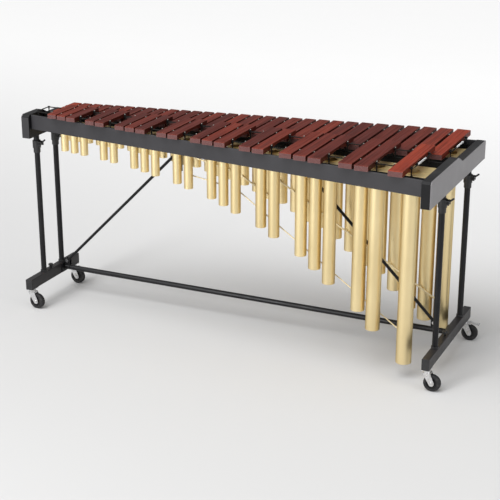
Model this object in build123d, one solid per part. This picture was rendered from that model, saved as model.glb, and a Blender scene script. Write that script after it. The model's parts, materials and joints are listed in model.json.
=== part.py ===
from build123d import *
import math
import os

# Concert marimba, four and a third octaves (A2 to C7), on a wheeled, height-adjustable stand.
# Millimetres, +Z up. +X points to the bass end, -Y to the audience (front), +Y to the player (back).

# ---- model origin -------------------------------------------------------------------------
# The design is drawn about the middle of the keyboard and then moved by this much, so that
# the origin is on the floor in the middle of the whole instrument's footprint.
ORIGIN_X = 22.7
ORIGIN_Y = 2.0

# ---- keyboard layout ----------------------------------------------------------------------
NATURAL_COUNT = 31
FIRST_BAR_X = -928.0          # centre of the highest natural bar, C7
TREBLE_PITCH = 54.2           # spacing of the highest bars
PITCH_GROWTH = 0.0245         # extra spacing per bar number squared, towards the bass
BAR_WIDTH_SHARE = 0.80        # bar width over bar spacing
NODE_SHARE = 0.224            # where a free bar's nodes lie, as a share of its length
TREBLE_BAR_THICKNESS = 20.0
BASS_BAR_THICKNESS = 24.0
NATURAL_TOP = 952.0
ACCIDENTAL_TOP = 982.0
CORD_HOLE_RADIUS = 3.7
CORD_RADIUS = 2.5
CORD_BELOW_TOP = 11.0         # cord centre under the bars' top face
CORD_LOOP_RADIUS = 6.5
ROLLER_PIN_RADIUS = 2.5
CORD_TREBLE_X = -966.0        # cords cross over here
NATURAL_CORD_BASS_X = 962.0
ACCIDENTAL_CORD_BASS_X = 923.0
SPRING_LENGTH = 118.0         # each cord's two ends meet in a spring at the bass end

# ---- frame --------------------------------------------------------------------------------
BOARD_INNER_X = 991.5
BOARD_THICKNESS = 38.0
SIDE_PANEL_THICKNESS = 4.0
BOARD_BOTTOM = 843.0
BOARD_HIGH_TOP = 957.0        # beside the accidentals
BOARD_LOW_TOP = 926.0         # beside the naturals
BOARD_STEP_FRONT = -48.0
BOARD_STEP_BACK = 18.0
TREBLE_BOARD_FRONT = -175.0
TREBLE_BOARD_BACK = 130.0
BASS_BOARD_FRONT = -432.0
BASS_BOARD_BACK = 385.0
OUTER_RAIL_THICKNESS = 8.0
FRONT_RAIL_BOTTOM = 886.0
FRONT_RAIL_TOP = 955.0
BACK_RAIL_BOTTOM = 858.0
BACK_RAIL_TOP = 925.0
PEG_RAIL_WIDTH = 10.0
PEG_RAIL_HEIGHT = 30.0
ACCIDENTAL_PEG_RAIL_TOP = 938.0
NATURAL_PEG_RAIL_TOP = 912.0

# ---- resonators ---------------------------------------------------------------------------
SPEED_OF_SOUND = 345000.0     # mm/s
TUBE_WALL = 1.5
TREBLE_TUBE_RADIUS = 18.0
TUBE_RADIUS_GROWTH = 16.5
SHORTEST_TUBE = 125.0         # high tubes are longer than they need to be, to make one curve
ACCIDENTAL_TUBE_TOP = 925.0
NATURAL_TUBE_TOP = 903.0
STRIP_THICKNESS = 3.0
STRIP_END_X = 975.0
TUBE_DATUM = 930.0             # tube lengths are counted from here
LOWEST_TUBE_BOTTOM = 71.0     # the last tube is cut to clear the floor
STRIP_GAP = 3.0               # half of the slot between a bank's two strips

# ---- stand --------------------------------------------------------------------------------
POST_X = 1010.0
BASE_WIDTH = 34.0
BASE_BOTTOM = 99.0
BASE_TOP = 151.0
BASE_WALL = 2.5
TREBLE_BASE_Y = (-230.0, 201.0)
BASS_BASE_Y = (-312.0, 330.0)
TREBLE_POST_Y = (-94.0, 66.0)
BASS_POST_Y = (-181.0, 203.0)
OUTER_POST_RADIUS = 13.0
INNER_POST_RADIUS = 11.0
POST_CLEARANCE = 0.08
OUTER_POST_TOP = 800.0
INNER_POST_BOTTOM = 520.0
COLLAR_BOTTOM = 757.0
COLLAR_TOP = 816.5
COLLAR_RADIUS = 19.5
LEVER_PIVOT_X = 23.0          # from the post's axis
LEVER_PIVOT_Z = 803.0
LEVER_LENGTH = 32.0
LEVER_ANGLE = 38.0
LIFT = 80.0                   # how far the keyboard can be raised
STAND_PLANE_Y = 66.0          # the cross tube and the braces lie in this plane
CROSS_TUBE_Z = 125.0
CROSS_TUBE_RADIUS = 12.5
BRACE_RADIUS = 7.0
BRACE_FOOT_X = (-972.0, 933.0)
BRACE_FOOT_Z = 161.0
BRACE_PIN_Z = 800.0
BRACE_PIN_RADIUS = 5.0

# ---- casters ------------------------------------------------------------------------------
TREBLE_CASTER_Y = (-201.0, 172.0)
BASS_CASTER_Y = (-283.0, 301.0)
WHEEL_RADIUS = 37.5
WHEEL_WIDTH = 22.0
WHEEL_TRAIL = 25.0            # axle behind the swivel axis
AXLE_RADIUS = 4.0
STEM_RADIUS = 5.0
RUNNING_CLEARANCE = 0.06
FORK_TOP = 84.0

os.makedirs("parts", exist_ok=True)


def save(shape, name):
    """Writes one node, moved from the drawing's origin to the model's."""
    export_step(Pos(-ORIGIN_X, -ORIGIN_Y, 0) * shape, f"parts/{name}.step")


def block(x0, x1, y0, y1, z0, z1):
    middle = Pos((x0 + x1) / 2, (y0 + y1) / 2, (z0 + z1) / 2)
    return middle * Box(x1 - x0, y1 - y0, z1 - z0)


def post(x, y, z0, z1, radius):
    return Pos(x, y, (z0 + z1) / 2) * Cylinder(radius, z1 - z0)


def rod(start, end, radius):
    start, end = Vector(*start), Vector(*end)
    along = end - start
    base = (Align.CENTER, Align.CENTER, Align.MIN)
    return Plane(origin=start, z_dir=along) * Cylinder(radius, along.length, align=base)


def cross_rod(x, y0, y1, z, radius):
    return rod((x, y0, z), (x, y1, z), radius)


def group(pieces):
    return Compound([solid for piece in pieces for solid in piece.solids()])


def slab(outline, z0, z1):
    """A plan-view outline, extruded up."""
    face = make_face(Polyline(*[(x, y) for x, y in outline], close=True))
    return Pos(0, 0, z0) * extrude(face, z1 - z0)


def strip_between(front, back, x0, x1, z0, z1):
    """A straight or tapering rail between two lines in plan, each a function of x."""
    outline = [(x0, front(x0)), (x1, front(x1)), (x1, back(x1)), (x0, back(x0))]
    return slab(outline, z0, z1)


# ---- where the bars lie -------------------------------------------------------------------

def bar_x(number):
    """Centre of bar `number`, counted from C7; half numbers are accidentals."""
    return FIRST_BAR_X + TREBLE_PITCH * number + PITCH_GROWTH * number**3 / 3


def bar_width(number):
    return BAR_WIDTH_SHARE * (TREBLE_PITCH + PITCH_GROWTH * number**2)


def bar_thickness(number):
    share = number / (NATURAL_COUNT - 1)
    return TREBLE_BAR_THICKNESS + (BASS_BAR_THICKNESS - TREBLE_BAR_THICKNESS) * share


def line(x0, y0, x1, y1):
    return lambda x: y0 + (y1 - y0) * (x - x0) / (x1 - x0)


natural_near = line(-928, -32, 918, -12)
natural_far = line(-928, 158, 918, 436)
accidental_near = line(-848, -201, 877, -422)
accidental_far = line(-848, -1, 877, 16)
front_face = line(-BOARD_INNER_X, -156, BOARD_INNER_X, -415)
back_face = line(-BOARD_INNER_X, 126, BOARD_INNER_X, 381)


def between(first, second, share):
    return lambda x: first(x) + share * (second(x) - first(x))


def shifted(curve, amount):
    return lambda x: curve(x) + amount


ROWS = {
    "natural": {
        "numbers": list(range(NATURAL_COUNT)),
        "near": natural_near,
        "far": natural_far,
        "top": NATURAL_TOP,
        "tube_top": NATURAL_TUBE_TOP,
        "rail_top": NATURAL_PEG_RAIL_TOP,
        "cord_x": NATURAL_CORD_BASS_X,
    },
    "accidental": {
        "numbers": [1.5, 2.5, 3.5, 5.5, 6.5, 8.5, 9.5, 10.5, 12.5, 13.5, 15.5,
                    16.5, 17.5, 19.5, 20.5, 22.5, 23.5, 24.5, 26.5, 27.5, 29.5],
        "near": accidental_near,
        "far": accidental_far,
        "top": ACCIDENTAL_TOP,
        "tube_top": ACCIDENTAL_TUBE_TOP,
        "rail_top": ACCIDENTAL_PEG_RAIL_TOP,
        "cord_x": ACCIDENTAL_CORD_BASS_X,
    },
}

for row in ROWS.values():
    row["near_node"] = between(row["near"], row["far"], NODE_SHARE)
    row["far_node"] = between(row["near"], row["far"], 1 - NODE_SHARE)
    row["middle"] = between(row["near"], row["far"], 0.5)
    row["cord_z"] = row["top"] - CORD_BELOW_TOP

# Bars are grouped by register: the first bar number of each group.
REGISTERS = {"treble": 0, "middle": 8, "bass": 22}


def register(number):
    return [name for name, first in REGISTERS.items() if number >= first][-1]


# ---- bars ---------------------------------------------------------------------------------

def cord_line(curve, x, z, reach):
    """A cylinder along a node line, wide enough for the cord to pass."""
    start = (x - reach, curve(x - reach), z)
    end = (x + reach, curve(x + reach), z)
    return rod(start, end, CORD_HOLE_RADIUS)


def tone_bar(row, number):
    """A bar with an arch cut out of its underside, bevelled top edges and two cord holes."""
    x = bar_x(number)
    near, far, top = row["near"](x), row["far"](x), row["top"]
    width, thickness = bar_width(number), bar_thickness(number)
    length = far - near
    bottom = top - thickness
    middle = (near + far) / 2
    arch_reach = 0.27 * length
    arch_depth = thickness * (0.25 + 0.35 * number / (NATURAL_COUNT - 1))
    bevel = 3.0
    sides = Polyline(
        (middle - arch_reach, bottom), (near, bottom), (near, top - bevel), (near + bevel, top),
        (far - bevel, top), (far, top - bevel), (far, bottom), (middle + arch_reach, bottom))
    arch = ThreePointArc(
        (middle + arch_reach, bottom), (middle, bottom + arch_depth), (middle - arch_reach, bottom))
    face = Plane.YZ * make_face([sides, arch])
    bar = Pos(x, 0, 0) * extrude(face, width / 2, both=True)
    bar = chamfer(bar.faces().sort_by(Axis.Z)[-1].edges().filter_by(Axis.Y), 1.2)
    for node in (row["near_node"], row["far_node"]):
        bar -= cord_line(node, x, row["cord_z"], width)
    return bar


for row_name, row in ROWS.items():
    for register_name in REGISTERS:
        members = [n for n in row["numbers"] if register(n) == register_name]
        save(group(tone_bar(row, n) for n in members), f"{row_name}_bars_{register_name}")


# ---- suspension cords, springs and pegs ---------------------------------------------------

def cord_route(row):
    """One cord per row, from its spring at the bass end round all four corners and back."""
    z, bass_x = row["cord_z"], row["cord_x"]
    far, near = row["far_node"], row["near_node"]
    middle = row["middle"](bass_x)
    return [
        (bass_x, middle - SPRING_LENGTH / 2, z),
        (bass_x, near(bass_x), z),
        (CORD_TREBLE_X, near(CORD_TREBLE_X), z),
        (CORD_TREBLE_X, far(CORD_TREBLE_X), z),
        (bass_x, far(bass_x), z),
        (bass_x, middle + SPRING_LENGTH / 2, z),
    ]


def suspension_cord(row):
    path = FilletPolyline(*cord_route(row), radius=CORD_LOOP_RADIUS)
    section = Plane(origin=path @ 0, z_dir=path % 0) * Circle(CORD_RADIUS)
    cord = sweep(section, path=path)
    expected = math.pi * CORD_RADIUS**2 * path.length
    print("cord length", round(path.length), "volume share", round(cord.volume / expected, 4))
    return cord


def cord_spring(row):
    x = row["cord_x"]
    middle = row["middle"](x)
    low, high = middle - SPRING_LENGTH / 2, middle + SPRING_LENGTH / 2
    return cross_rod(x, low, high, row["cord_z"], 4.5)


def gap_positions(row):
    """x of every peg on a node line: in each gap between bars, and past the ends if there's room."""
    edges = [(bar_x(n) - bar_width(n) / 2, bar_x(n) + bar_width(n) / 2) for n in row["numbers"]]
    clear = 6.0
    places = []
    for (_, left), (right, _) in zip(edges, edges[1:]):
        if right - left < 3 * clear:
            places.append((left + right) / 2)
        else:
            places += [left + clear, right - clear]
    for x in (edges[0][0] - clear, edges[-1][1] + clear):
        if min(abs(x - CORD_TREBLE_X), abs(x - row["cord_x"])) > 5 * clear:
            places.append(x)
    return places


def peg(row, node, x):
    """A pin on the rail with an eye that the cord passes through."""
    y, z, top = node(x), row["cord_z"], row["top"]
    eye = block(x - 2.2, x + 2.2, y - 6, y + 6, z - 7, z + 7)
    eye -= cord_line(node, x, z, 12)
    stem = post(x, y, row["rail_top"], z - 7, 3.0)
    tip = post(x, y, z + 7, top - 1, 2.2)
    return eye + stem + tip


def roller_places(row):
    """Centres of the four rollers that a cord turns round, inside its four corners."""
    corners = [Vector(*point) for point in cord_route(row)]
    places = []
    for before, corner, after in zip(corners, corners[1:], corners[2:]):
        back, ahead = (before - corner).normalized(), (after - corner).normalized()
        half_angle = back.get_angle(ahead) / 2
        away = CORD_LOOP_RADIUS / math.sin(math.radians(half_angle))
        centre = corner + (back + ahead).normalized() * away
        places.append((centre.X, centre.Y))
    return places


def corner_roller(row, x, y):
    z = row["cord_z"]
    radius = CORD_LOOP_RADIUS - CORD_RADIUS - 0.4
    drum = post(x, y, z - 6, z + 6, radius) + post(x, y, z + 4, z + 6, radius + 1.5)
    return drum + post(x, y, row["rail_top"], z - 6, ROLLER_PIN_RADIUS)


pegs = []
rollers = []
for row in ROWS.values():
    rollers += [corner_roller(row, x, y) for x, y in roller_places(row)]
    for node in (row["near_node"], row["far_node"]):
        pegs += [peg(row, node, x) for x in gap_positions(row)]

for row_name, row in ROWS.items():
    save(suspension_cord(row), f"{row_name}_cord")
save(group(cord_spring(row) for row in ROWS.values()), "cord_springs")
save(group(pegs), "cord_pegs")
save(group(rollers), "cord_rollers")


# ---- rails and end boards -----------------------------------------------------------------

def outer_rail(face, side, z0, z1):
    back = shifted(face, side * OUTER_RAIL_THICKNESS)
    rail = strip_between(face, back, -BOARD_INNER_X, BOARD_INNER_X, z0, z1)
    outer = rail.faces().filter_by(lambda f: abs(f.normal_at().Y) > 0.9)
    outer = outer.sort_by(Axis.Y)[0 if side > 0 else -1]
    long_edges = outer.edges().filter_by(lambda e: e.length > BOARD_INNER_X)
    return chamfer(long_edges, 1.5)


def peg_rail(row, node):
    """A rail under a node line, with a small shelf under each of its two cord rollers."""
    half = PEG_RAIL_WIDTH / 2
    top = row["rail_top"]
    rail = strip_between(shifted(node, -half), shifted(node, half),
                         -BOARD_INNER_X, BOARD_INNER_X, top - PEG_RAIL_HEIGHT, top)
    for x, y in roller_places(row):
        if abs(y - node(x)) < 2 * CORD_LOOP_RADIUS:
            rail += post(x, y, top - 12, top, CORD_LOOP_RADIUS + 0.5)
    return rail


save(outer_rail(front_face, 1, FRONT_RAIL_BOTTOM, FRONT_RAIL_TOP), "front_rail")
save(outer_rail(back_face, -1, BACK_RAIL_BOTTOM, BACK_RAIL_TOP), "back_rail")
for row_name, row in ROWS.items():
    for node_name in ("near", "far"):
        outer = (row_name == "accidental") == (node_name == "near")
        place = "outer" if outer else "inner"
        save(peg_rail(row, row[f"{node_name}_node"]), f"{row_name}_{place}_rail")


def end_outline(front, back):
    """Side view of an end board: high beside the accidentals, lower beside the naturals."""
    bevel = 11.0
    return [
        (front, BOARD_BOTTOM), (front, BOARD_HIGH_TOP - bevel), (front + bevel, BOARD_HIGH_TOP),
        (BOARD_STEP_FRONT, BOARD_HIGH_TOP), (BOARD_STEP_BACK, BOARD_LOW_TOP),
        (back, BOARD_LOW_TOP), (back, BOARD_BOTTOM)]


def end_plate(front, back, x0, x1):
    face = Plane.YZ * make_face(Polyline(*end_outline(front, back), close=True))
    plate = Pos(min(x0, x1), 0, 0) * extrude(face, abs(x1 - x0))
    return plate


for end, side, front, back in (("treble", -1, TREBLE_BOARD_FRONT, TREBLE_BOARD_BACK),
                               ("bass", 1, BASS_BOARD_FRONT, BASS_BOARD_BACK)):
    joint_x = side * (BOARD_INNER_X + BOARD_THICKNESS)
    panel_x = joint_x + side * SIDE_PANEL_THICKNESS
    save(end_plate(front, back, side * BOARD_INNER_X, joint_x), f"{end}_end_board")
    panel = end_plate(front, back, joint_x, panel_x)
    rim = panel.faces().sort_by(Axis.X)[0 if side < 0 else -1].edges()
    save(chamfer(rim, 1.0), f"{end}_side_panel")


# ---- resonators ---------------------------------------------------------------------------

def frequency(number):
    """Pitch of a bar. Natural bars step down the white notes from C7."""
    semitones_down = {0: 0, 1: 1, 2: 3, 3: 5, 4: 7, 5: 8, 6: 10}
    octave, step = divmod(int(number), 7)
    semitones = 12 * octave + semitones_down[step]
    if number != int(number):
        semitones += 1
    c7 = 2093.0
    return c7 / 2 ** (semitones / 12)


def tube_radius(number):
    return TREBLE_TUBE_RADIUS + TUBE_RADIUS_GROWTH * (number / (NATURAL_COUNT - 1)) ** 2.4


def tube_bottom(number):
    """Low tubes follow a quarter of the wavelength; the high ones level out."""
    quarter_wave = SPEED_OF_SOUND / (4 * frequency(number))
    bottom = TUBE_DATUM - math.hypot(1.13 * quarter_wave + 20, SHORTEST_TUBE)
    return max(bottom, LOWEST_TUBE_BOTTOM)


def resonator_tube(row, number):
    x = bar_x(number)
    y = row["middle"](x)
    radius = tube_radius(number)
    bottom, top = tube_bottom(number), row["tube_top"]
    return post(x, y, bottom, top, radius) - post(x, y, bottom, top, radius - TUBE_WALL)


def tube_stopper(row, number):
    x = bar_x(number)
    bottom = tube_bottom(number)
    radius = tube_radius(number) - TUBE_WALL - 0.02
    return post(x, row["middle"](x), bottom + 3, bottom + 6, radius)


def bank_strips(row, front_width, back_width):
    """Two flat strips that clasp the tubes just below their mouths."""
    z1 = row["tube_top"] - 4
    z0 = z1 - STRIP_THICKNESS
    middle = row["middle"]

    def edge(widths):
        return lambda x: middle(x) + line(-STRIP_END_X, widths[0], STRIP_END_X, widths[1])(x)

    pairs = [
        (edge([-w for w in front_width]), shifted(middle, -STRIP_GAP)),
        (shifted(middle, STRIP_GAP), edge(back_width)),
    ]
    holes = [post(bar_x(n), middle(bar_x(n)), z0, z1, tube_radius(n) + 0.02)
             for n in row["numbers"]]
    strips = []
    for front, back in pairs:
        strip = strip_between(front, back, -STRIP_END_X, STRIP_END_X, z0, z1)
        strips.append(strip - holes)
    return strips


def bank_hangers(row):
    """Plates that carry a bank's strips from the end boards."""
    z1 = row["tube_top"] - 4 - STRIP_THICKNESS
    solids = []
    for side in (-1, 1):
        inner, outer = side * (STRIP_END_X - 16), side * BOARD_INNER_X
        y = row["middle"](side * STRIP_END_X)
        reach = 22.0
        solids.append(block(min(inner, outer), max(inner, outer), y - reach, y + reach, z1 - 4, z1))
    return solids


def tie_rod(row, side, radius, first, first_z, last, last_z):
    """A straight rod along one side of a bank, with a tab to every tube that it passes."""
    clear = radius + 2.0

    def rod_point(number, z):
        x = bar_x(number)
        return Vector(x, row["middle"](x) + side * (tube_radius(number) + clear), z)

    start, end = rod_point(first, first_z), rod_point(last, last_z)
    tie = rod(tuple(start), tuple(end), radius)
    for n in row["numbers"]:
        if not first <= n <= last:
            continue
        x = bar_x(n)
        share = (x - start.X) / (end.X - start.X)
        at = start + (end - start) * share
        surface = row["middle"](x) + side * tube_radius(n)
        tie += cross_rod(x, surface + side * 0.02, at.Y + side * radius, at.Z, radius + 1.5)
    return tie


for row_name, row in ROWS.items():
    save(group(resonator_tube(row, n) for n in row["numbers"]), f"{row_name}_resonators")
save(group(tube_stopper(row, n) for row in ROWS.values() for n in row["numbers"]),
     "resonator_stoppers")
save(group(bank_strips(ROWS["accidental"], (38, 55), (38, 95))), "accidental_bank_strips")
save(group(bank_strips(ROWS["natural"], (38, 90), (38, 90))), "natural_bank_strips")
save(group(bank_hangers(ROWS["accidental"]) + bank_hangers(ROWS["natural"])), "bank_hangers")
save(group([tie_rod(ROWS["accidental"], 1, 2.5, 13.5, 752, 16.5, 727),
            tie_rod(ROWS["accidental"], 1, 2.5, 17.5, 714, 29.5, 173)]), "accidental_tie_rods")
save(group([tie_rod(ROWS["natural"], -1, 4.0, 12, 771, 15, 728),
            tie_rod(ROWS["natural"], -1, 4.0, 16, 706, 18, 629),
            tie_rod(ROWS["natural"], -1, 4.0, 19, 701, 30, 217)]), "natural_tie_rods")


# ---- stand --------------------------------------------------------------------------------

POSTS = {
    "treble_front": (-POST_X, TREBLE_POST_Y[0]),
    "treble_back": (-POST_X, TREBLE_POST_Y[1]),
    "bass_front": (POST_X, BASS_POST_Y[0]),
    "bass_back": (POST_X, BASS_POST_Y[1]),
}
CASTERS = {
    "treble_front": (-POST_X, TREBLE_CASTER_Y[0]),
    "treble_back": (-POST_X, TREBLE_CASTER_Y[1]),
    "bass_front": (POST_X, BASS_CASTER_Y[0]),
    "bass_back": (POST_X, BASS_CASTER_Y[1]),
}
CAP_THICKNESS = 3.0


def base_bar(x, ends):
    """Rectangular tube with rounded long edges."""
    y0, y1 = ends[0] + CAP_THICKNESS, ends[1] - CAP_THICKNESS
    half = BASE_WIDTH / 2
    bar = block(x - half, x + half, y0, y1, BASE_BOTTOM, BASE_TOP)
    bar = fillet(bar.edges().filter_by(Axis.Y), 3.0)
    return bar - block(x - half + BASE_WALL, x + half - BASE_WALL, y0, y1,
                       BASE_BOTTOM + BASE_WALL, BASE_TOP - BASE_WALL)


def end_cap(x, y, inward):
    """A plastic cap over the end of a base bar."""
    half = BASE_WIDTH / 2
    y1 = y + inward * CAP_THICKNESS
    cap = block(x - half, x + half, min(y, y1), max(y, y1), BASE_BOTTOM, BASE_TOP)
    return fillet(cap.edges().filter_by(Axis.Y), 3.0)


def outer_post(x, y):
    tube = post(x, y, BASE_TOP, OUTER_POST_TOP, OUTER_POST_RADIUS)
    return tube - post(x, y, BASE_TOP, OUTER_POST_TOP, INNER_POST_RADIUS + POST_CLEARANCE)


def post_foot(x, y):
    ring = post(x, y, BASE_TOP, BASE_TOP + 9, OUTER_POST_RADIUS + 3.5)
    return ring - post(x, y, BASE_TOP, BASE_TOP + 9, OUTER_POST_RADIUS + 0.02)


def inner_post(x, y):
    shaft = post(x, y, INNER_POST_BOTTOM, BOARD_BOTTOM, INNER_POST_RADIUS)
    return shaft + post(x, y, COLLAR_TOP + 0.5, BOARD_BOTTOM, INNER_POST_RADIUS + 2.5)


def clamp_collar(x, y):
    """A two-step collar round the top of the outer post, with ears for the lever."""
    waist = 780.0
    body = post(x, y, COLLAR_BOTTOM, waist, COLLAR_RADIUS - 3)
    body += post(x, y, waist, COLLAR_TOP, COLLAR_RADIUS)
    for side in (-1, 1):
        inner, outer = y + side * 8.0, y + side * 12.5
        body += block(x + 12, x + LEVER_PIVOT_X + 8, min(inner, outer), max(inner, outer),
                      LEVER_PIVOT_Z - 10, LEVER_PIVOT_Z + 10)
    body -= block(x + 14.5, x + LEVER_PIVOT_X + 9, y - 8, y + 8, LEVER_PIVOT_Z - 9, COLLAR_TOP)
    body -= cross_rod(x + LEVER_PIVOT_X, y - 13, y + 13, LEVER_PIVOT_Z, 3.02)
    body -= post(x, y, COLLAR_BOTTOM, OUTER_POST_TOP, OUTER_POST_RADIUS + 0.02)
    body -= post(x, y, OUTER_POST_TOP, COLLAR_TOP, INNER_POST_RADIUS + 0.5)
    return body


def clamp_bolt(x, y):
    """The pin that the lever turns on, with a head and a nut outside the ears."""
    px = x + LEVER_PIVOT_X
    pin = cross_rod(px, y - 15.5, y + 15.5, LEVER_PIVOT_Z, 3.0)
    head = cross_rod(px, y - 16.5, y - 12.5, LEVER_PIVOT_Z, 5.5)
    nut = cross_rod(px, y + 12.5, y + 16.5, LEVER_PIVOT_Z, 5.5)
    return pin + head + nut


def clamp_lever(x, y):
    px, pz = x + LEVER_PIVOT_X, LEVER_PIVOT_Z
    hub = cross_rod(px, y - 7.6, y + 7.6, pz, 7.0)
    angle = math.radians(LEVER_ANGLE)
    run = Vector(math.cos(angle), 0, math.sin(angle))
    start = Vector(px, y, pz) + run * 5.0
    tip = Vector(px, y, pz) + run * LEVER_LENGTH
    grip = rod(tuple(start), tuple(tip), 4.0)
    grip = fillet(grip.edges().filter_by(GeomType.CIRCLE), 1.6)
    return hub - cross_rod(px, y - 8, y + 8, pz, 3.0 + RUNNING_CLEARANCE) + grip


save(base_bar(-POST_X, TREBLE_BASE_Y), "treble_base_bar")
save(base_bar(POST_X, BASS_BASE_Y), "bass_base_bar")
save(group([end_cap(x, ends[i], 1 - 2 * i)
            for x, ends in ((-POST_X, TREBLE_BASE_Y), (POST_X, BASS_BASE_Y)) for i in (0, 1)]),
     "base_end_caps")
save(group(outer_post(*place) for place in POSTS.values()), "outer_posts")
save(group(post_foot(*place) for place in POSTS.values()), "post_feet")
save(group(inner_post(*place) for place in POSTS.values()), "inner_posts")
save(group(clamp_collar(*place) for place in POSTS.values()), "clamp_collars")
save(group(clamp_bolt(*place) for place in POSTS.values()), "clamp_bolts")
for corner, place in POSTS.items():
    save(clamp_lever(*place), f"{corner}_lever")


# ---- cross tube and braces ----------------------------------------------------------------

FLANGE_THICKNESS = 4.0
flange_x = POST_X - BASE_WIDTH / 2
tube_end = flange_x - FLANGE_THICKNESS


def cross_tube():
    y, z = STAND_PLANE_Y, CROSS_TUBE_Z
    tube = rod((-tube_end, y, z), (tube_end, y, z), CROSS_TUBE_RADIUS)
    return tube - rod((-tube_end, y, z), (tube_end, y, z), CROSS_TUBE_RADIUS - 2)


def tube_flange(side):
    x0, x1 = sorted((side * tube_end, side * flange_x))
    return block(x0, x1, STAND_PLANE_Y - 30, STAND_PLANE_Y + 30, BASE_BOTTOM + 3, BASE_TOP - 3)


def flange_knob(side):
    """A hand knob on top of the base bar that draws the cross tube's flange tight."""
    x = side * POST_X
    y = STAND_PLANE_Y - 99
    stem = post(x, y, BASE_TOP, BASE_TOP + 8, 5.0)
    return stem + post(x, y, BASE_TOP + 8, BASE_TOP + 20, 12.0)


def brace_lug(x):
    """A saddle on the cross tube with two ears for a brace's foot."""
    y, z = STAND_PLANE_Y, CROSS_TUBE_Z
    outer = rod((x - 14, y, z), (x + 14, y, z), CROSS_TUBE_RADIUS + 3)
    lug = outer & block(x - 14, x + 14, y - 20, y + 20, z, z + 20)
    for side in (-1, 1):
        inner, far = y + side * 7.5, y + side * 11.0
        lug += block(x - 14, x + 14, min(inner, far), max(inner, far), z + 6, BRACE_FOOT_Z + 11)
    lug -= rod((x - 15, y, z), (x + 15, y, z), CROSS_TUBE_RADIUS + 0.02)
    return lug - cross_rod(x, y - 13, y + 13, BRACE_FOOT_Z, BRACE_PIN_RADIUS + 0.02)


def brace(foot_x, lean):
    """A tube at 45 degrees from the cross tube up to its guide under the keyboard."""
    rise = BRACE_PIN_Z - BRACE_FOOT_Z
    y = STAND_PLANE_Y
    foot = (foot_x, y, BRACE_FOOT_Z)
    head = (foot_x + lean * rise, y, BRACE_PIN_Z)
    bar = rod(foot, head, BRACE_RADIUS)
    for x, z in ((foot[0], foot[2]), (head[0], head[2])):
        bar += cross_rod(x, y - 7.3, y + 7.3, z, 9.0)
    for x, z in ((foot[0], foot[2]), (head[0], head[2])):
        bar -= cross_rod(x, y - 8, y + 8, z, BRACE_PIN_RADIUS + 0.02)
    return bar


def brace_pin(x, z, reach):
    y = STAND_PLANE_Y
    pin = cross_rod(x, y - reach, y + reach, z, BRACE_PIN_RADIUS)
    for side in (-1, 1):
        a, b = sorted((y + side * reach, y + side * (reach + 4)))
        pin += cross_rod(x, a, b, z, 8.0)
    return pin


def brace_guide(x):
    """A slotted yoke under the natural inner rail; the brace's pin slides in its slots."""
    y = STAND_PLANE_Y
    top = NATURAL_PEG_RAIL_TOP - PEG_RAIL_HEIGHT
    low = BRACE_PIN_Z - LIFT - 18
    rail_y = ROWS["natural"]["near_node"](x)
    yoke = block(x - 16, x + 16, min(rail_y - 8, y - 13), y + 13, top - 4, top)
    for side in (-1, 1):
        inner, far = y + side * 10.0, y + side * 13.0
        ear = block(x - 13, x + 13, min(inner, far), max(inner, far), low, top - 4)
        half = BRACE_PIN_RADIUS + 0.5
        slot = block(x - half, x + half, y - 20, y + 20, BRACE_PIN_Z - LIFT, BRACE_PIN_Z)
        slot += cross_rod(x, y - 20, y + 20, BRACE_PIN_Z, half)
        slot += cross_rod(x, y - 20, y + 20, BRACE_PIN_Z - LIFT, half)
        yoke += ear - slot
    return yoke


save(cross_tube(), "cross_tube")
save(group(tube_flange(side) for side in (-1, 1)), "cross_tube_flanges")
save(group(flange_knob(side) for side in (-1, 1)), "flange_knobs")
brace_rise = BRACE_PIN_Z - BRACE_FOOT_Z
brace_heads = (BRACE_FOOT_X[0] + brace_rise, BRACE_FOOT_X[1] - brace_rise)
save(group(brace_lug(x) for x in BRACE_FOOT_X), "brace_lugs")
save(group([brace(BRACE_FOOT_X[0], 1), brace(BRACE_FOOT_X[1], -1)]), "diagonal_braces")
save(group([brace_pin(x, BRACE_FOOT_Z, 11.0) for x in BRACE_FOOT_X]
           + [brace_pin(x, BRACE_PIN_Z, 13.6) for x in brace_heads]), "brace_pins")
save(group(brace_guide(x) for x in brace_heads), "brace_guides")


# ---- casters ------------------------------------------------------------------------------

def caster_stem(x, y):
    """The fixed half of a caster: plate under the base bar, bearing ring and stem."""
    plate = block(x - 17, x + 17, y - 28, y + 28, BASE_BOTTOM - 3, BASE_BOTTOM)
    ring = post(x, y, BASE_BOTTOM - 6, BASE_BOTTOM - 3, 14.0)
    stem = post(x, y, FORK_TOP - 3, BASE_BOTTOM - 6, STEM_RADIUS)
    return plate + ring + stem


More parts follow.
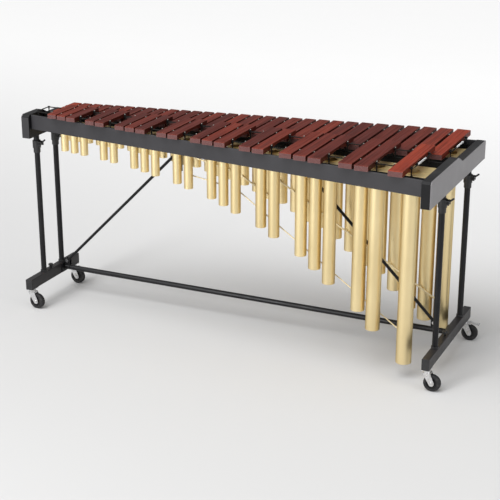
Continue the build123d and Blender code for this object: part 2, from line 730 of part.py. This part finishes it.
def caster_fork(x, y, braked):
    """The swivelling half: bearing cup, crown, two legs, the axle and its nuts."""
    axle_x, axle_z = x + WHEEL_TRAIL, WHEEL_RADIUS
    leg_inner, leg_outer = 14.0, 16.5
    crown = block(x - 16, x + 20, y - leg_outer, y + leg_outer, FORK_TOP - 4, FORK_TOP)
    crown += post(x, y, FORK_TOP, BASE_BOTTOM - 7, 15.5)
    crown -= post(x, y, FORK_TOP - 4, BASE_BOTTOM - 7, STEM_RADIUS + RUNNING_CLEARANCE)
    outline = [(-14, FORK_TOP - 4), (20, FORK_TOP - 4), (WHEEL_TRAIL + 11, axle_z + 6),
               (WHEEL_TRAIL + 11, axle_z - 4), (WHEEL_TRAIL + 5, axle_z - 11),
               (WHEEL_TRAIL - 5, axle_z - 11), (WHEEL_TRAIL - 11, axle_z - 4)]
    leg_face = Plane.XZ * make_face(Polyline(*outline, close=True))
    leg = Pos(x, y, 0) * extrude(leg_face, (leg_outer - leg_inner) / 2, both=True)
    fork = crown
    for side in (-1, 1):
        fork += Pos(0, side * (leg_inner + leg_outer) / 2, 0) * leg
    if braked:
        for side in (-1, 1):
            a, b = sorted((y + side * 9.5, y + side * 12.5))
            fork += block(x + 20, x + 31, a, b, FORK_TOP - 4, FORK_TOP + 5)
        fork += cross_rod(x + 26, y - 12.5, y + 12.5, FORK_TOP, 2.0)
    fork += cross_rod(axle_x, y - 19, y + 19, axle_z, AXLE_RADIUS)
    for side in (-1, 1):
        a, b = sorted((y + side * leg_outer, y + side * (leg_outer + 4)))
        fork += cross_rod(axle_x, a, b, axle_z, 7.0)
    return fork


def caster_wheel(x, y):
    """A solid rubber tyre on a moulded core, turned about the axle."""
    axle_x = x + WHEEL_TRAIL
    half = WHEEL_WIDTH / 2
    tyre = cross_rod(axle_x, y - half, y + half, WHEEL_RADIUS, WHEEL_RADIUS)
    tyre = fillet(tyre.edges().filter_by(GeomType.CIRCLE), 5.0)
    core_radius = 26.0
    tyre -= cross_rod(axle_x, y - half, y + half, WHEEL_RADIUS, core_radius)
    core = cross_rod(axle_x, y - 4, y + 4, WHEEL_RADIUS, core_radius)
    core += cross_rod(axle_x, y - 13.5, y + 13.5, WHEEL_RADIUS, 9.0)
    rim = cross_rod(axle_x, y - half + 1, y + half - 1, WHEEL_RADIUS, core_radius)
    core += rim - cross_rod(axle_x, y - half, y + half, WHEEL_RADIUS, core_radius - 3)
    core -= cross_rod(axle_x, y - 14, y + 14, WHEEL_RADIUS, AXLE_RADIUS + RUNNING_CLEARANCE)
    return group([tyre, core])


def brake_pedal(x, y):
    """A pressed lever over the wheel, hinged on the fork's crown."""
    px, pz = x + 26, FORK_TOP
    hub = cross_rod(px, y - 9.2, y + 9.2, pz, 4.5)
    tread = Pos(px + 22, y, pz - 1.5) * Rot(0, 8, 0) * Box(36, 18.4, 3)
    lip = Pos(px + 40, y, pz - 2.5) * Rot(0, 8, 0) * Box(5, 24, 6)
    return hub + tread + lip - cross_rod(px, y - 10, y + 10, pz, 2.0 + RUNNING_CLEARANCE)


save(group(caster_stem(*place) for place in CASTERS.values()), "caster_stems")
for corner, (x, y) in CASTERS.items():
    braked = corner.endswith("back")
    save(caster_fork(x, y, braked), f"{corner}_fork")
    save(caster_wheel(x, y), f"{corner}_wheel")
    if braked:
        save(brake_pedal(x, y), f"{corner}_brake")
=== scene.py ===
"""The looks of a concert marimba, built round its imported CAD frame. Metres, +Z up."""
import json
import math
import random

import bmesh
import bpy
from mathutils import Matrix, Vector


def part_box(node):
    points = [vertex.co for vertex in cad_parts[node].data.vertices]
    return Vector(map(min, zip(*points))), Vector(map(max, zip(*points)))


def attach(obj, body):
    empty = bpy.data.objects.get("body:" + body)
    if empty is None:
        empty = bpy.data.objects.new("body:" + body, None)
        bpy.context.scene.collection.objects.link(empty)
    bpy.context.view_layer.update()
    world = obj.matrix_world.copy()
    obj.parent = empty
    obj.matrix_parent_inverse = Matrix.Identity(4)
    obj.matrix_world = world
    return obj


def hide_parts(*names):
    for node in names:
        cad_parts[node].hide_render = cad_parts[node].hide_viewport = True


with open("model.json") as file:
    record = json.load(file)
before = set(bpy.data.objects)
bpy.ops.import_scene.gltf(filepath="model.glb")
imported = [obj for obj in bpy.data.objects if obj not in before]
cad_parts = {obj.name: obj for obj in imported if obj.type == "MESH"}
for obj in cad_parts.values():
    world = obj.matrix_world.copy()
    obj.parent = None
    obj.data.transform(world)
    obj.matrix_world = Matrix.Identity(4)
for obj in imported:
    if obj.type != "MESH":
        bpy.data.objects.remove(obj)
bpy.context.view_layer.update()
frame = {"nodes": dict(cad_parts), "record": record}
record = frame["record"]
BODY_OF = {node: body for body, nodes in record["behaviour"]["bodies"].items() for node in nodes}
SLOT_OF = {part["node"]: part["material_slot"] for part in record["subparts"]}


# ---- node helpers ---------------------------------------------------------------------------

class Look:
    """A material under construction: small helpers around one Principled shader."""

    def __init__(self, name, metallic=0.0, specular=0.5):
        self.material = bpy.data.materials.new(name)
        self.material.use_nodes = True
        self.tree = self.material.node_tree
        self.shader = self.tree.nodes["Principled BSDF"]
        self.shader.inputs["Metallic"].default_value = metallic
        self.shader.inputs["Specular IOR Level"].default_value = specular
        self.place = self.tree.nodes.new("ShaderNodeTexCoord").outputs["Object"]

    def node(self, kind, **settings):
        made = self.tree.nodes.new(kind)
        for key, value in settings.items():
            setattr(made, key, value)
        return made

    def join(self, socket, value):
        if isinstance(value, bpy.types.NodeSocket):
            self.tree.links.new(value, socket)
        elif isinstance(value, tuple) and len(value) == 3 and socket.type == "RGBA":
            socket.default_value = (*value, 1.0)
        else:
            socket.default_value = value

    def scaled(self, stretch, place=None):
        node = self.node("ShaderNodeVectorMath", operation="MULTIPLY")
        self.join(node.inputs[0], place or self.place)
        node.inputs[1].default_value = stretch
        return node.outputs[0]

    def noise(self, scale, stretch=(1, 1, 1), detail=4.0, roughness=0.55, warp=0.0, place=None):
        node = self.node("ShaderNodeTexNoise")
        self.join(node.inputs["Vector"], self.scaled(stretch, place))
        node.inputs["Scale"].default_value = scale
        node.inputs["Detail"].default_value = detail
        node.inputs["Roughness"].default_value = roughness
        node.inputs["Distortion"].default_value = warp
        return node.outputs["Fac"]

    def wave(self, scale, stretch, warp, direction):
        node = self.node("ShaderNodeTexWave", bands_direction=direction)
        self.join(node.inputs["Vector"], self.scaled(stretch))
        node.inputs["Scale"].default_value = scale
        node.inputs["Distortion"].default_value = warp
        return node.outputs["Fac"]

    def ramp(self, value, *stops):
        node = self.node("ShaderNodeValToRGB")
        self.join(node.inputs["Fac"], value)
        marks = node.color_ramp.elements
        while len(marks) < len(stops):
            marks.new(0.5)
        for mark, (position, colour) in zip(marks, stops):
            mark.position = position
            mark.color = (*colour, 1.0)
        return node.outputs["Color"]

    def span(self, value, low, high, to_low=0.0, to_high=1.0):
        node = self.node("ShaderNodeMapRange", interpolation_type="SMOOTHSTEP")
        for socket, given in zip(node.inputs, (value, low, high, to_low, to_high)):
            self.join(socket, given)
        return node.outputs[0]

    def maths(self, operation, a, b=0.0):
        node = self.node("ShaderNodeMath", operation=operation)
        self.join(node.inputs[0], a)
        self.join(node.inputs[1], b)
        return node.outputs[0]

    def mix(self, share, a, b, blend="MIX"):
        node = self.node("ShaderNodeMix", data_type="RGBA", blend_type=blend)
        self.join(node.inputs[0], share)
        self.join(node.inputs[6], a)
        self.join(node.inputs[7], b)
        return node.outputs[2]

    def attribute(self, name):
        return self.node("ShaderNodeAttribute", attribute_name=name).outputs["Fac"]

    def axis(self, vector, letter):
        node = self.node("ShaderNodeSeparateXYZ")
        self.join(node.inputs[0], vector)
        return node.outputs[letter]

    def normal(self):
        return self.node("ShaderNodeTexCoord").outputs["Normal"]

    def edges(self, reach=0.0012):
        """1 on edges, 0 elsewhere, broken up by a fine noise: rubbed wear on paint and plastic, a
        painted highlight on the bars.
        """
        rounded = self.node("ShaderNodeBevel", samples=3)
        rounded.inputs["Radius"].default_value = reach
        turn = self.node("ShaderNodeVectorMath", operation="DOT_PRODUCT")
        self.join(turn.inputs[0], rounded.outputs[0])
        self.join(turn.inputs[1], self.node("ShaderNodeNewGeometry").outputs["Normal"])
        wear_and_highlight = self.span(turn.outputs["Value"], 0.995, 0.90)
        patchy = self.span(self.noise(160.0, detail=3), 0.35, 0.65, 0.35, 1.0)
        return self.maths("MULTIPLY", wear_and_highlight, patchy)

    def bump(self, *layers):
        """Stacks height layers, each (height, depth in metres, strength)."""
        below = None
        for height, depth, strength in layers:
            node = self.node("ShaderNodeBump")
            self.join(node.inputs["Height"], height)
            node.inputs["Distance"].default_value = depth
            node.inputs["Strength"].default_value = strength
            if below:
                self.join(node.inputs["Normal"], below)
            below = node.outputs["Normal"]
        self.join(self.shader.inputs["Normal"], below)

    def finish(self, colour, roughness):
        self.join(self.shader.inputs["Base Color"], colour)
        self.join(self.shader.inputs["Roughness"], roughness)
        return self.material


# ---- materials ------------------------------------------------------------------------------

def rosewood():
    """Oiled rosewood: long dark streaks, fine open pores, paler waxed end grain on the ends facing
    front, partly the wood's own colour and partly painted light; painted shade on the side faces
    and a painted highlight along the edges.
    """
    look = Look("rosewood", specular=0.25)
    look.shader.inputs["IOR"].default_value = 1.22
    shift = look.node("ShaderNodeCombineXYZ")
    look.join(shift.inputs[0], look.maths("MULTIPLY", look.attribute("bar_seed"), 3.1))
    look.join(shift.inputs[1], look.maths("MULTIPLY", look.attribute("bar_seed"), 17.0))
    moved = look.node("ShaderNodeVectorMath", operation="ADD")
    look.join(moved.inputs[0], look.place)
    look.join(moved.inputs[1], shift.outputs[0])
    place = moved.outputs[0]
    figure = look.noise(1.0, (34, 1.5, 34), 5, 0.6, 1.1, place)
    streak = look.noise(1.0, (150, 3.5, 150), 4, 0.6, 0.6, place)
    pores = look.noise(1.0, (820, 26, 820), 2, 0.5, 0.0, place)
    dark = look.ramp(figure, (0.28, (0.036, 0.0065, 0.005)), (0.5, (0.068, 0.0115, 0.009)),
                     (0.72, (0.110, 0.019, 0.013)))
    red = look.ramp(figure, (0.28, (0.17, 0.020, 0.009)), (0.5, (0.29, 0.036, 0.014)),
                    (0.72, (0.38, 0.060, 0.023)))
    colour = look.mix(look.attribute("bar_red"), dark, red)
    colour = look.mix(look.span(streak, 0.52, 0.68, 0.0, 0.55), colour, (0.045, 0.010, 0.008))
    pore = look.span(pores, 0.60, 0.70)
    colour = look.mix(look.maths("MULTIPLY", pore, 0.5), colour, (0.03, 0.008, 0.006))
    facing = look.axis(look.normal(), "Y")
    # painted shade: the side faces of every bar are darkened towards near-black
    side_shade = look.maths("ABSOLUTE", look.axis(look.normal(), "X"))
    colour = look.mix(look.span(side_shade, 0.7, 0.95, 0.0, 0.45), colour, (0.018, 0.005, 0.004))
    # paler end faces, only on the ends facing front: partly the wood's own end-grain colour, partly
    # painted light from the front
    lit_end_grain = look.span(look.maths("MULTIPLY", facing, -1.0), 0.80, 0.96)
    rings = look.noise(1.0, (260, 30, 520), 3, 0.6, 0.5, place)
    lit_end_colour = look.ramp(rings, (0.35, (0.095, 0.042, 0.040)), (0.65, (0.18, 0.088, 0.084)))
    colour = look.mix(lit_end_grain, colour, lit_end_colour)
    # painted highlight: a pale pink line along the bar edges
    colour = look.mix(look.maths("MULTIPLY", look.edges(0.0022), 0.6), colour, (0.42, 0.19, 0.16))
    roughness = look.span(streak, 0.3, 0.7, 0.34, 0.50)
    look.bump((pore, 0.00012, 0.35), (streak, 0.00020, 0.22))
    return look.finish(colour, roughness)


def painted(name, colour, roughness=0.42, grain=900.0, depth=0.00006, wear=0.35, specular=0.4):
    """Powder coat or sprayed paint: fine orange peel, faint dust and paler rubbed edges."""
    look = Look(name, specular=specular)
    peel = look.noise(grain, detail=2)
    blotch = look.noise(9.0, detail=5)
    lighter = tuple(min(1.0, c * 1.15 + 0.003) for c in colour)
    base = look.mix(look.span(blotch, 0.35, 0.70), colour, lighter)
    rubbed = tuple(min(1.0, c * 2.2 + 0.05) for c in colour)
    base = look.mix(look.maths("MULTIPLY", look.edges(), wear), base, rubbed)
    look.bump((peel, depth, 0.5), (blotch, 0.0003, 0.05))
    return look.finish(base, look.span(blotch, 0.3, 0.7, roughness - 0.06, roughness + 0.08))


def gold_tube():
    """Gold-anodised drawn tube: faint vertical draw lines and soft patches."""
    look = Look("gold_tube", metallic=1.0)
    look.shader.inputs["Specular Tint"].default_value = (0.20, 0.11, 0.035, 1.0)
    lines = look.noise(1.0, (1500, 1500, 9), 2)
    patch = look.noise(5.0, (1, 1, 0.5), 4)
    colour = look.ramp(patch, (0.3, (0.83, 0.665, 0.355)), (0.7, (0.93, 0.775, 0.455)))
    colour = look.mix(look.span(lines, 0.55, 0.75, 0.0, 0.18), colour, (0.62, 0.44, 0.19))
    look.bump((lines, 0.00004, 0.25),)
    look.shader.inputs["Anisotropic"].default_value = 0.35
    return look.finish(colour, look.span(patch, 0.3, 0.7, 0.36, 0.46))


def gold_sheet(name, colour, roughness, metallic=1.0):
    look = Look(name, metallic=metallic)
    brushed = look.noise(1.0, (12, 900, 900), 3)
    patch = look.noise(14.0, detail=5)
    darker = tuple(c * 0.72 for c in colour)
    base = look.mix(look.span(patch, 0.35, 0.7, 0.0, 0.6), colour, darker)
    look.bump((brushed, 0.00004, 0.35),)
    return look.finish(base, look.span(brushed, 0.3, 0.7, roughness - 0.05, roughness + 0.08))


def bright_metal(name, colour, roughness, tarnish):
    """Zinc-plated or bright steel with cloudy tarnish."""
    look = Look(name, metallic=1.0)
    cloud = look.noise(60.0, detail=5)
    scratch = look.noise(1.0, (500, 60, 900), 3, warp=1.0)
    base = look.mix(look.span(cloud, 0.4, 0.7, 0.0, 0.8), colour, tarnish)
    look.bump((scratch, 0.00005, 0.3),)
    return look.finish(base, look.span(cloud, 0.3, 0.7, roughness - 0.06, roughness + 0.1))


def plastic(name, colour, roughness):
    look = Look(name, specular=0.45)
    grain = look.noise(1600.0, detail=2)
    cloud = look.noise(30.0, detail=3)
    lighter = tuple(min(1.0, c * 1.25 + 0.004) for c in colour)
    base = look.mix(look.span(cloud, 0.4, 0.7), colour, lighter)
    base = look.mix(look.maths("MULTIPLY", look.edges(), 0.25), base,
                    tuple(min(1.0, c * 1.8 + 0.03) for c in colour))
    look.bump((grain, 0.00005, 0.4),)
    return look.finish(base, look.span(cloud, 0.3, 0.7, roughness - 0.05, roughness + 0.07))


def peg_plastic():
    """Black pegs with a pale sleeve over their tips."""
    look = Look("peg_plastic", specular=0.3)
    grain = look.noise(1600.0, detail=2)
    cloud = look.noise(40.0, detail=3)
    pale = look.ramp(cloud, (0.35, (0.46, 0.44, 0.40)), (0.65, (0.60, 0.58, 0.54)))
    base = look.mix(look.attribute("pale_tip"), (0.006, 0.006, 0.007), pale)
    look.bump((grain, 0.00005, 0.4),)
    return look.finish(base, look.span(cloud, 0.3, 0.7, 0.40, 0.55))


def braided_cord():
    look = Look("black_cord", specular=0.15)
    along = look.wave(420.0, (1, 0.35, 1), 0.4, "DIAGONAL")
    fuzz = look.noise(2500.0, detail=2)
    base = look.ramp(along, (0.15, (0.006, 0.006, 0.006)), (0.6, (0.022, 0.021, 0.020)))
    look.bump((along, 0.0004, 0.7), (fuzz, 0.0001, 0.4))
    return look.finish(base, 0.85)


def tyre():
    look = Look("tyre_rubber", specular=0.35)
    dust = look.noise(45.0, detail=6)
    grain = look.noise(1400.0, detail=2)
    base = look.mix(look.span(dust, 0.48, 0.72, 0.0, 0.5), (0.012, 0.012, 0.013),
                    (0.07, 0.066, 0.062))
    look.bump((grain, 0.00008, 0.4),)
    return look.finish(base, look.span(dust, 0.3, 0.7, 0.50, 0.75))


LOOKS = {
    "rosewood": rosewood(),
    "black_board": painted("black_board", (0.005, 0.005, 0.006), 0.45, 700, wear=0.2, specular=0.2),
    "grey_panel": painted("grey_panel", (0.185, 0.178, 0.184), 0.45, 1100),
    "grey_rail": painted("grey_rail", (0.030, 0.029, 0.032), 0.50, 1100, wear=0.2, specular=0.3),
    "dark_rail": painted("dark_rail", (0.004, 0.004, 0.004), 0.6, 500, wear=0.15, specular=0.15),
    "black_cord": braided_cord(),
    "spring_steel": bright_metal("spring_steel", (0.62, 0.62, 0.63), 0.28, (0.42, 0.41, 0.40)),
    "peg_plastic": peg_plastic(),
    "gold_tube": gold_tube(),
    "gold_strip": gold_sheet("gold_strip", (0.78, 0.62, 0.30), 0.50, 0.35),
    "gold_rod": gold_sheet("gold_rod", (0.90, 0.76, 0.47), 0.38, 0.3),
    "black_steel": painted("black_steel", (0.006, 0.006, 0.007), 0.36, 1300, specular=0.25),
    "base_steel": painted("base_steel", (0.022, 0.020, 0.021), 0.40, 1300, specular=0.3),
    "black_plastic": plastic("black_plastic", (0.012, 0.012, 0.013), 0.42),
    "inner_steel": painted("inner_steel", (0.008, 0.008, 0.009), 0.34, 1300, specular=0.25),
    "zinc": bright_metal("zinc", (0.74, 0.74, 0.75), 0.30, (0.50, 0.49, 0.47)),
    "tyre_rubber": tyre(),
}


# ---- mesh helpers ---------------------------------------------------------------------------

SHARP_ANGLE = 32.0    # degrees; anything sharper gets a rounded edge


def add_piece(name, mesh, slot, body):
    """Puts a finished mesh into the scene, with its material and its body."""
    piece = bpy.data.objects.new(name, mesh)
    bpy.context.scene.collection.objects.link(piece)
    mesh.materials.clear()
    mesh.materials.append(LOOKS[slot])
    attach(piece, body)
    return piece


def soften(piece, width):
    """Rounds the sharp edges of a piece."""
    bevel = piece.modifiers.new("rounded_edges", "BEVEL")
    bevel.width = width
    bevel.segments = 2
    bevel.limit_method = "ANGLE"
    bevel.angle_limit = math.radians(SHARP_ANGLE)
    bevel.use_clamp_overlap = True
    bevel.harden_normals = True


def clean_copy(node):
    """The CAD mesh of a node with its corners joined and its flat faces made whole."""
    shape = bmesh.new()
    shape.from_mesh(frame["nodes"][node].data)
    bmesh.ops.remove_doubles(shape, verts=shape.verts, dist=2e-6)
    bmesh.ops.dissolve_limit(shape, angle_limit=math.radians(0.4), verts=shape.verts,
                             edges=shape.edges, use_dissolve_boundaries=False)
    for face in shape.faces:
        face.smooth = True
    return shape


def mark_sharp(shape):
    for edge in shape.edges:
        if len(edge.link_faces) == 2 and edge.calc_face_angle(0.0) > math.radians(SHARP_ANGLE):
            edge.smooth = False


def refine(node, width):
    """Replaces a CAD node with the same shape, edges rounded."""
    shape = clean_copy(node)
    mark_sharp(shape)
    mesh = bpy.data.meshes.new("fine_" + node)
    shape.to_mesh(mesh)
    shape.free()
    piece = add_piece("fine_" + node, mesh, SLOT_OF[node], BODY_OF[node])
    if width:
        soften(piece, width)
    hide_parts(node)


def islands(shape):
    """The separate bodies of a mesh, each as a list of vertices."""
    unseen = set(shape.verts)
    groups = []
    while unseen:
        stack = [unseen.pop()]
        group = []
        while stack:
            vertex = stack.pop()
            group.append(vertex)
            for edge in vertex.link_edges:
                other = edge.other_vert(vertex)
                if other in unseen:
                    unseen.discard(other)
                    stack.append(other)
        groups.append(group)
    return sorted(groups, key=lambda g: sum(v.co.x for v in g) / len(g))


def extent(vertices):
    low = Vector(min(v.co[i] for v in vertices) for i in range(3))
    high = Vector(max(v.co[i] for v in vertices) for i in range(3))
    return low, high


# ---- bars -----------------------------------------------------------------------------------

def refine_bars(node):
    """Bars with rounded edges; each carries its own grain offset and colour."""
    shape = clean_copy(node)
    mark_sharp(shape)
    shape.verts.index_update()
    seeds, reds = {}, {}
    keyboard_low, keyboard_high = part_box("front_rail")
    for group in islands(shape):
        low, high = extent(group)
        middle = (low.x + high.x) / 2
        chance = random.Random(round(middle * 1000))
        along = (middle - keyboard_low.x) / (keyboard_high.x - keyboard_low.x)
        outermost = max(0.0, 1.0 - along / 0.10) + max(0.0, (along - 0.90) / 0.05)
        redness = min(1.0, 0.10 + 0.42 * chance.random() ** 2 + 0.75 * min(1.0, outermost))
        for vertex in group:
            seeds[vertex.index] = middle * 7.3
            reds[vertex.index] = redness
    mesh = bpy.data.meshes.new("fine_" + node)
    shape.to_mesh(mesh)
    count = len(shape.verts)
    shape.free()
    for name, values in (("bar_seed", seeds), ("bar_red", reds)):
        layer = mesh.attributes.new(name, "FLOAT", "POINT")
        layer.data.foreach_set("value", [values[i] for i in range(count)])
    piece = add_piece("fine_" + node, mesh, SLOT_OF[node], BODY_OF[node])
    soften(piece, 0.0008)
    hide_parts(node)


for node in sorted(SLOT_OF):
    if SLOT_OF[node] == "rosewood":
        refine_bars(node)


# ---- everything that keeps its shape, with rounded edges --------------------------------------

EDGE_WIDTH = {
    "grey_rail": 0.0012, "black_board": 0.0025, "grey_panel": 0.0006, "dark_rail": 0.0015,
    "gold_tube": 0.0004, "gold_strip": 0.0, "black_steel": 0.0006, "base_steel": 0.0008,
    "black_plastic": 0.0008, "inner_steel": 0.0006, "zinc": 0.0005, "peg_plastic": 0.0005,
    "gold_rod": 0.0005, "tyre_rubber": 0.0006, "black_cord": 0.0, "spring_steel": 0.0,
}
REBUILT = {"cord_springs", "flange_knobs", "cord_pegs"}
for node in sorted(SLOT_OF):
    if SLOT_OF[node] != "rosewood" and node not in REBUILT:
        refine(node, EDGE_WIDTH[SLOT_OF[node]])


# ---- pegs, springs, knobs and screws ------------------------------------------------------------

def lathe(shape, profile, place, sides=24, lobes=0, lobe_depth=0.0):
    """A turned form standing on +Z: profile is (radius, height) pairs, closed at both ends."""
    rings = []
    for radius, height in profile:
        ring = []
        for i in range(sides):
            angle = 2 * math.pi * i / sides
            reach = radius * (1.0 - lobe_depth * (0.5 - 0.5 * math.cos(lobes * angle)))
            spot = Vector((reach * math.cos(angle), reach * math.sin(angle), height))
            ring.append(shape.verts.new(Vector(place) + spot))
        rings.append(ring)
    for lower, upper in zip(rings, rings[1:]):
        for i in range(sides):
            j = (i + 1) % sides
            shape.faces.new((lower[i], lower[j], upper[j], upper[i])).smooth = True
    shape.faces.new(list(reversed(rings[0])))
    shape.faces.new(rings[-1])


def to_mesh(name, shape):
    mark_sharp(shape)
    mesh = bpy.data.meshes.new(name)
    shape.to_mesh(mesh)
    shape.free()
    return mesh


def pegs():
    """The CAD pegs, with the top few millimetres of each marked as its pale sleeve."""
    node = "cord_pegs"
    shape = clean_copy(node)
    mark_sharp(shape)
    pale = {}
    sleeve = 0.0025
    shape.verts.index_update()
    for group in islands(shape):
        high = max(v.co.z for v in group)
        for vertex in group:
            pale[vertex.index] = 1.0 if vertex.co.z > high - sleeve else 0.0
    count = len(shape.verts)
    mesh = bpy.data.meshes.new("fine_" + node)
    shape.to_mesh(mesh)
    shape.free()
    layer = mesh.attributes.new("pale_tip", "FLOAT", "POINT")
    layer.data.foreach_set("value", [pale[i] for i in range(count)])
    piece = add_piece("fine_" + node, mesh, SLOT_OF[node], BODY_OF[node])
    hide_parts(node)


def coil_spring(name, low, high):
    """A close-wound tension spring with a straight tail at each end, lying along Y."""
    wire = 0.0008
    radius = (high.x - low.x) / 2 - wire
    centre_x, centre_z = (low.x + high.x) / 2, (low.z + high.z) / 2
    tail = 0.010
    start, end = low.y + tail, high.y - tail
    turns = int((end - start) / (2.6 * wire))
    steps = 14
    points = [Vector((centre_x, low.y, centre_z)), Vector((centre_x, start - 0.002, centre_z))]
    for i in range(turns * steps + 1):
        angle = 2 * math.pi * i / steps
        y = start + (end - start) * i / (turns * steps)
        points.append(Vector((centre_x + radius * math.cos(angle), y,
                              centre_z + radius * math.sin(angle))))
    points += [Vector((centre_x, end + 0.002, centre_z)), Vector((centre_x, high.y, centre_z))]
    data = bpy.data.curves.new(name + "_wire", "CURVE")
    data.dimensions = "3D"
    data.bevel_depth = wire
    data.bevel_resolution = 2
    data.use_fill_caps = True
    line = data.splines.new("POLY")
    line.points.add(len(points) - 1)
    line.points.foreach_set("co", [value for p in points for value in (*p, 1.0)])
    helper = bpy.data.objects.new(name + "_wire", data)
    bpy.context.scene.collection.objects.link(helper)
    graph = bpy.context.evaluated_depsgraph_get()
    mesh = bpy.data.meshes.new_from_object(helper.evaluated_get(graph))
    bpy.data.objects.remove(helper)
    for face in mesh.polygons:
        face.use_smooth = True
    piece = add_piece(name, mesh, "spring_steel", BODY_OF["cord_springs"])
    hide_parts("cord_springs")


def knobs():
    """Five-lobed hand knobs on short studs."""
    source = clean_copy("flange_knobs")
    shape = bmesh.new()
    for group in islands(source):
        low, high = extent(group)
        place = ((low.x + high.x) / 2, (low.y + high.y) / 2, low.z)
        reach = (high.x - low.x) / 2
        tall = high.z - low.z
        lathe(shape, [(0.005, 0.0), (0.005, tall * 0.42)], place)
        outline = ((0.72, 0.38), (0.95, 0.46), (1.0, 0.60), (1.0, 0.84), (0.93, 0.95), (0.55, 1.0))
        lathe(shape, [(reach * across, tall * up) for across, up in outline],
              place, sides=60, lobes=5, lobe_depth=0.22)
    source.free()
    piece = add_piece("hand_knobs", to_mesh("hand_knobs", shape), "black_plastic",
                      BODY_OF["flange_knobs"])
    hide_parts("flange_knobs")


def screw_head(shape, place, radius):
    lathe(shape, [(radius * 1.5, 0.0), (radius * 1.5, 0.0006), (radius, 0.0007),
                  (radius, 0.0014), (radius * 0.75, 0.0021), (radius * 0.3, 0.0023)], place, 20)


def bank_screws(bank, strips):
    """Washered screws along both strips of a bank, in the gaps between tubes."""
    tubes = clean_copy(bank)
    centres = []
    for group in islands(tubes):
        low, high = extent(group)
        centres.append(((low.x + high.x) / 2, (low.y + high.y) / 2, (high.x - low.x) / 2))
    tubes.free()
    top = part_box(strips)[1].z
    shape = bmesh.new()
    screw_radius, narrowest_gap, inset = 0.0026, 0.006, 0.012
    for (x0, y0, r0), (x1, y1, r1) in zip(centres, centres[1:]):
        gap = (x1 - r1) - (x0 + r0)
        if gap < narrowest_gap:
            continue
        x, y = (x0 + r0 + x1 - r1) / 2, (y0 + y1) / 2
        for side in (-1, 1):
            away = max(r0, r1) * 0.45 + inset
            screw_head(shape, (x, y + side * away, top), screw_radius)
    name = strips + "_screws"
    add_piece(name, to_mesh(name, shape), "zinc", BODY_OF[strips])


pegs()
springs = clean_copy("cord_springs")
for number, group in enumerate(sorted(islands(springs), key=lambda g: g[0].co.z)):
    coil_spring(f"cord_spring_{number + 1}", *extent(group))
springs.free()
knobs()
bank_screws("natural_resonators", "natural_bank_strips")
bank_screws("accidental_resonators", "accidental_bank_strips")


def front_cover():
    """A grey plate over the front of the treble end board, below its bevelled top."""
    low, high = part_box("treble_end_board")
    thick, margin, bevel_height = 0.0012, 0.0015, 0.013
    left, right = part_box("treble_side_panel")[0].x + margin, high.x - margin
    bottom, top = low.z + margin, high.z - bevel_height
    corners = [(left, bottom), (right, bottom), (right, top), (left, top)]
    shape = bmesh.new()
    front = [shape.verts.new((x, low.y - thick, z)) for x, z in corners]
    back = [shape.verts.new((x, low.y, z)) for x, z in corners]
    shape.faces.new(front)
    shape.faces.new(list(reversed(back)))
    for i in range(4):
        j = (i + 1) % 4
        shape.faces.new((front[i], back[i], back[j], front[j]))
    bmesh.ops.recalc_face_normals(shape, faces=shape.faces)
    piece = add_piece("treble_front_cover", to_mesh("treble_front_cover", shape), "grey_rail",
                      BODY_OF["treble_end_board"])
    soften(piece, 0.0005)


front_cover()


# ---- camera, light and floor ------------------------------------------------------------------

camera_data = bpy.data.cameras.new("camera")
camera_data.lens = 92.3
camera_data.sensor_width = 36.0
camera_data.clip_end = 200.0
camera = bpy.data.objects.new("camera", camera_data)
camera.location = (2.3496, -5.0419, 2.3972)
camera.rotation_euler = (math.radians(90 - 19.89), 0.0, math.radians(24.62))
bpy.context.scene.collection.objects.link(camera)
bpy.context.scene.camera = camera


def floor():
    """A pale floor with painted shade and light: a little greyer in front of the instrument than
    behind it.
    """
    shape = bmesh.new()
    reach = 70.0
    corners = [shape.verts.new((x, y, 0.0)) for x, y in
               ((-reach, -reach), (reach, -reach), (reach, reach), (-reach, reach))]
    shape.faces.new(corners)
    mesh = bpy.data.meshes.new("floor")
    shape.to_mesh(mesh)
    shape.free()
    piece = bpy.data.objects.new("floor", mesh)
    bpy.context.scene.collection.objects.link(piece)
    look = Look("floor", specular=0.1)
    speckle = look.noise(3.0, detail=4)
    # painted shade near the instrument, fading to painted light far behind it
    away = look.span(look.axis(look.place, "Y"), -1.0, 6.0)
    near_shade_grey, far_light_white = (0.60, 0.60, 0.60), (1.0, 1.0, 1.0)
    base = look.mix(away, near_shade_grey, far_light_white)
    base = look.mix(look.maths("MULTIPLY", speckle, 0.03), base, (0.6, 0.6, 0.6))
    mesh.materials.append(look.finish(base, 0.8))


def area_light(name, place, target, size, power):
    data = bpy.data.lights.new(name, "AREA")
    data.shape = "RECTANGLE"
    data.size, data.size_y = size
    data.energy = power
    lamp = bpy.data.objects.new(name, data)
    lamp.location = place
    lamp.rotation_euler = (Vector(target) - Vector(place)).to_track_quat("-Z", "Y").to_euler()
    bpy.context.scene.collection.objects.link(lamp)


floor()
area_light("front_softbox", (-1.9, -5.4, 1.9), (0.2, 0.0, 0.5), (1.3, 2.6), 180)
area_light("overhead", (0.0, -0.6, 5.5), (0.0, 0.0, 0.0), (5.0, 4.0), 50)
area_light("right_fill", (5.5, -1.5, 2.0), (0.8, 0.0, 0.7), (2.0, 2.5), 60)

sun_data = bpy.data.lights.new("soft_sun", "SUN")
sun_data.energy = 2.1
sun_data.angle = math.radians(50)
sun = bpy.data.objects.new("soft_sun", sun_data)
sun.rotation_euler = (math.radians(28), math.radians(-18), 0.0)
bpy.context.scene.collection.objects.link(sun)

world = bpy.data.worlds.new("studio")
world.use_nodes = True
background = world.node_tree.nodes["Background"]
background.inputs["Color"].default_value = (0.62, 0.62, 0.62, 1.0)
background.inputs["Strength"].default_value = 0.62
bpy.context.scene.world = world

bpy.context.scene.view_settings.view_transform = "Standard"
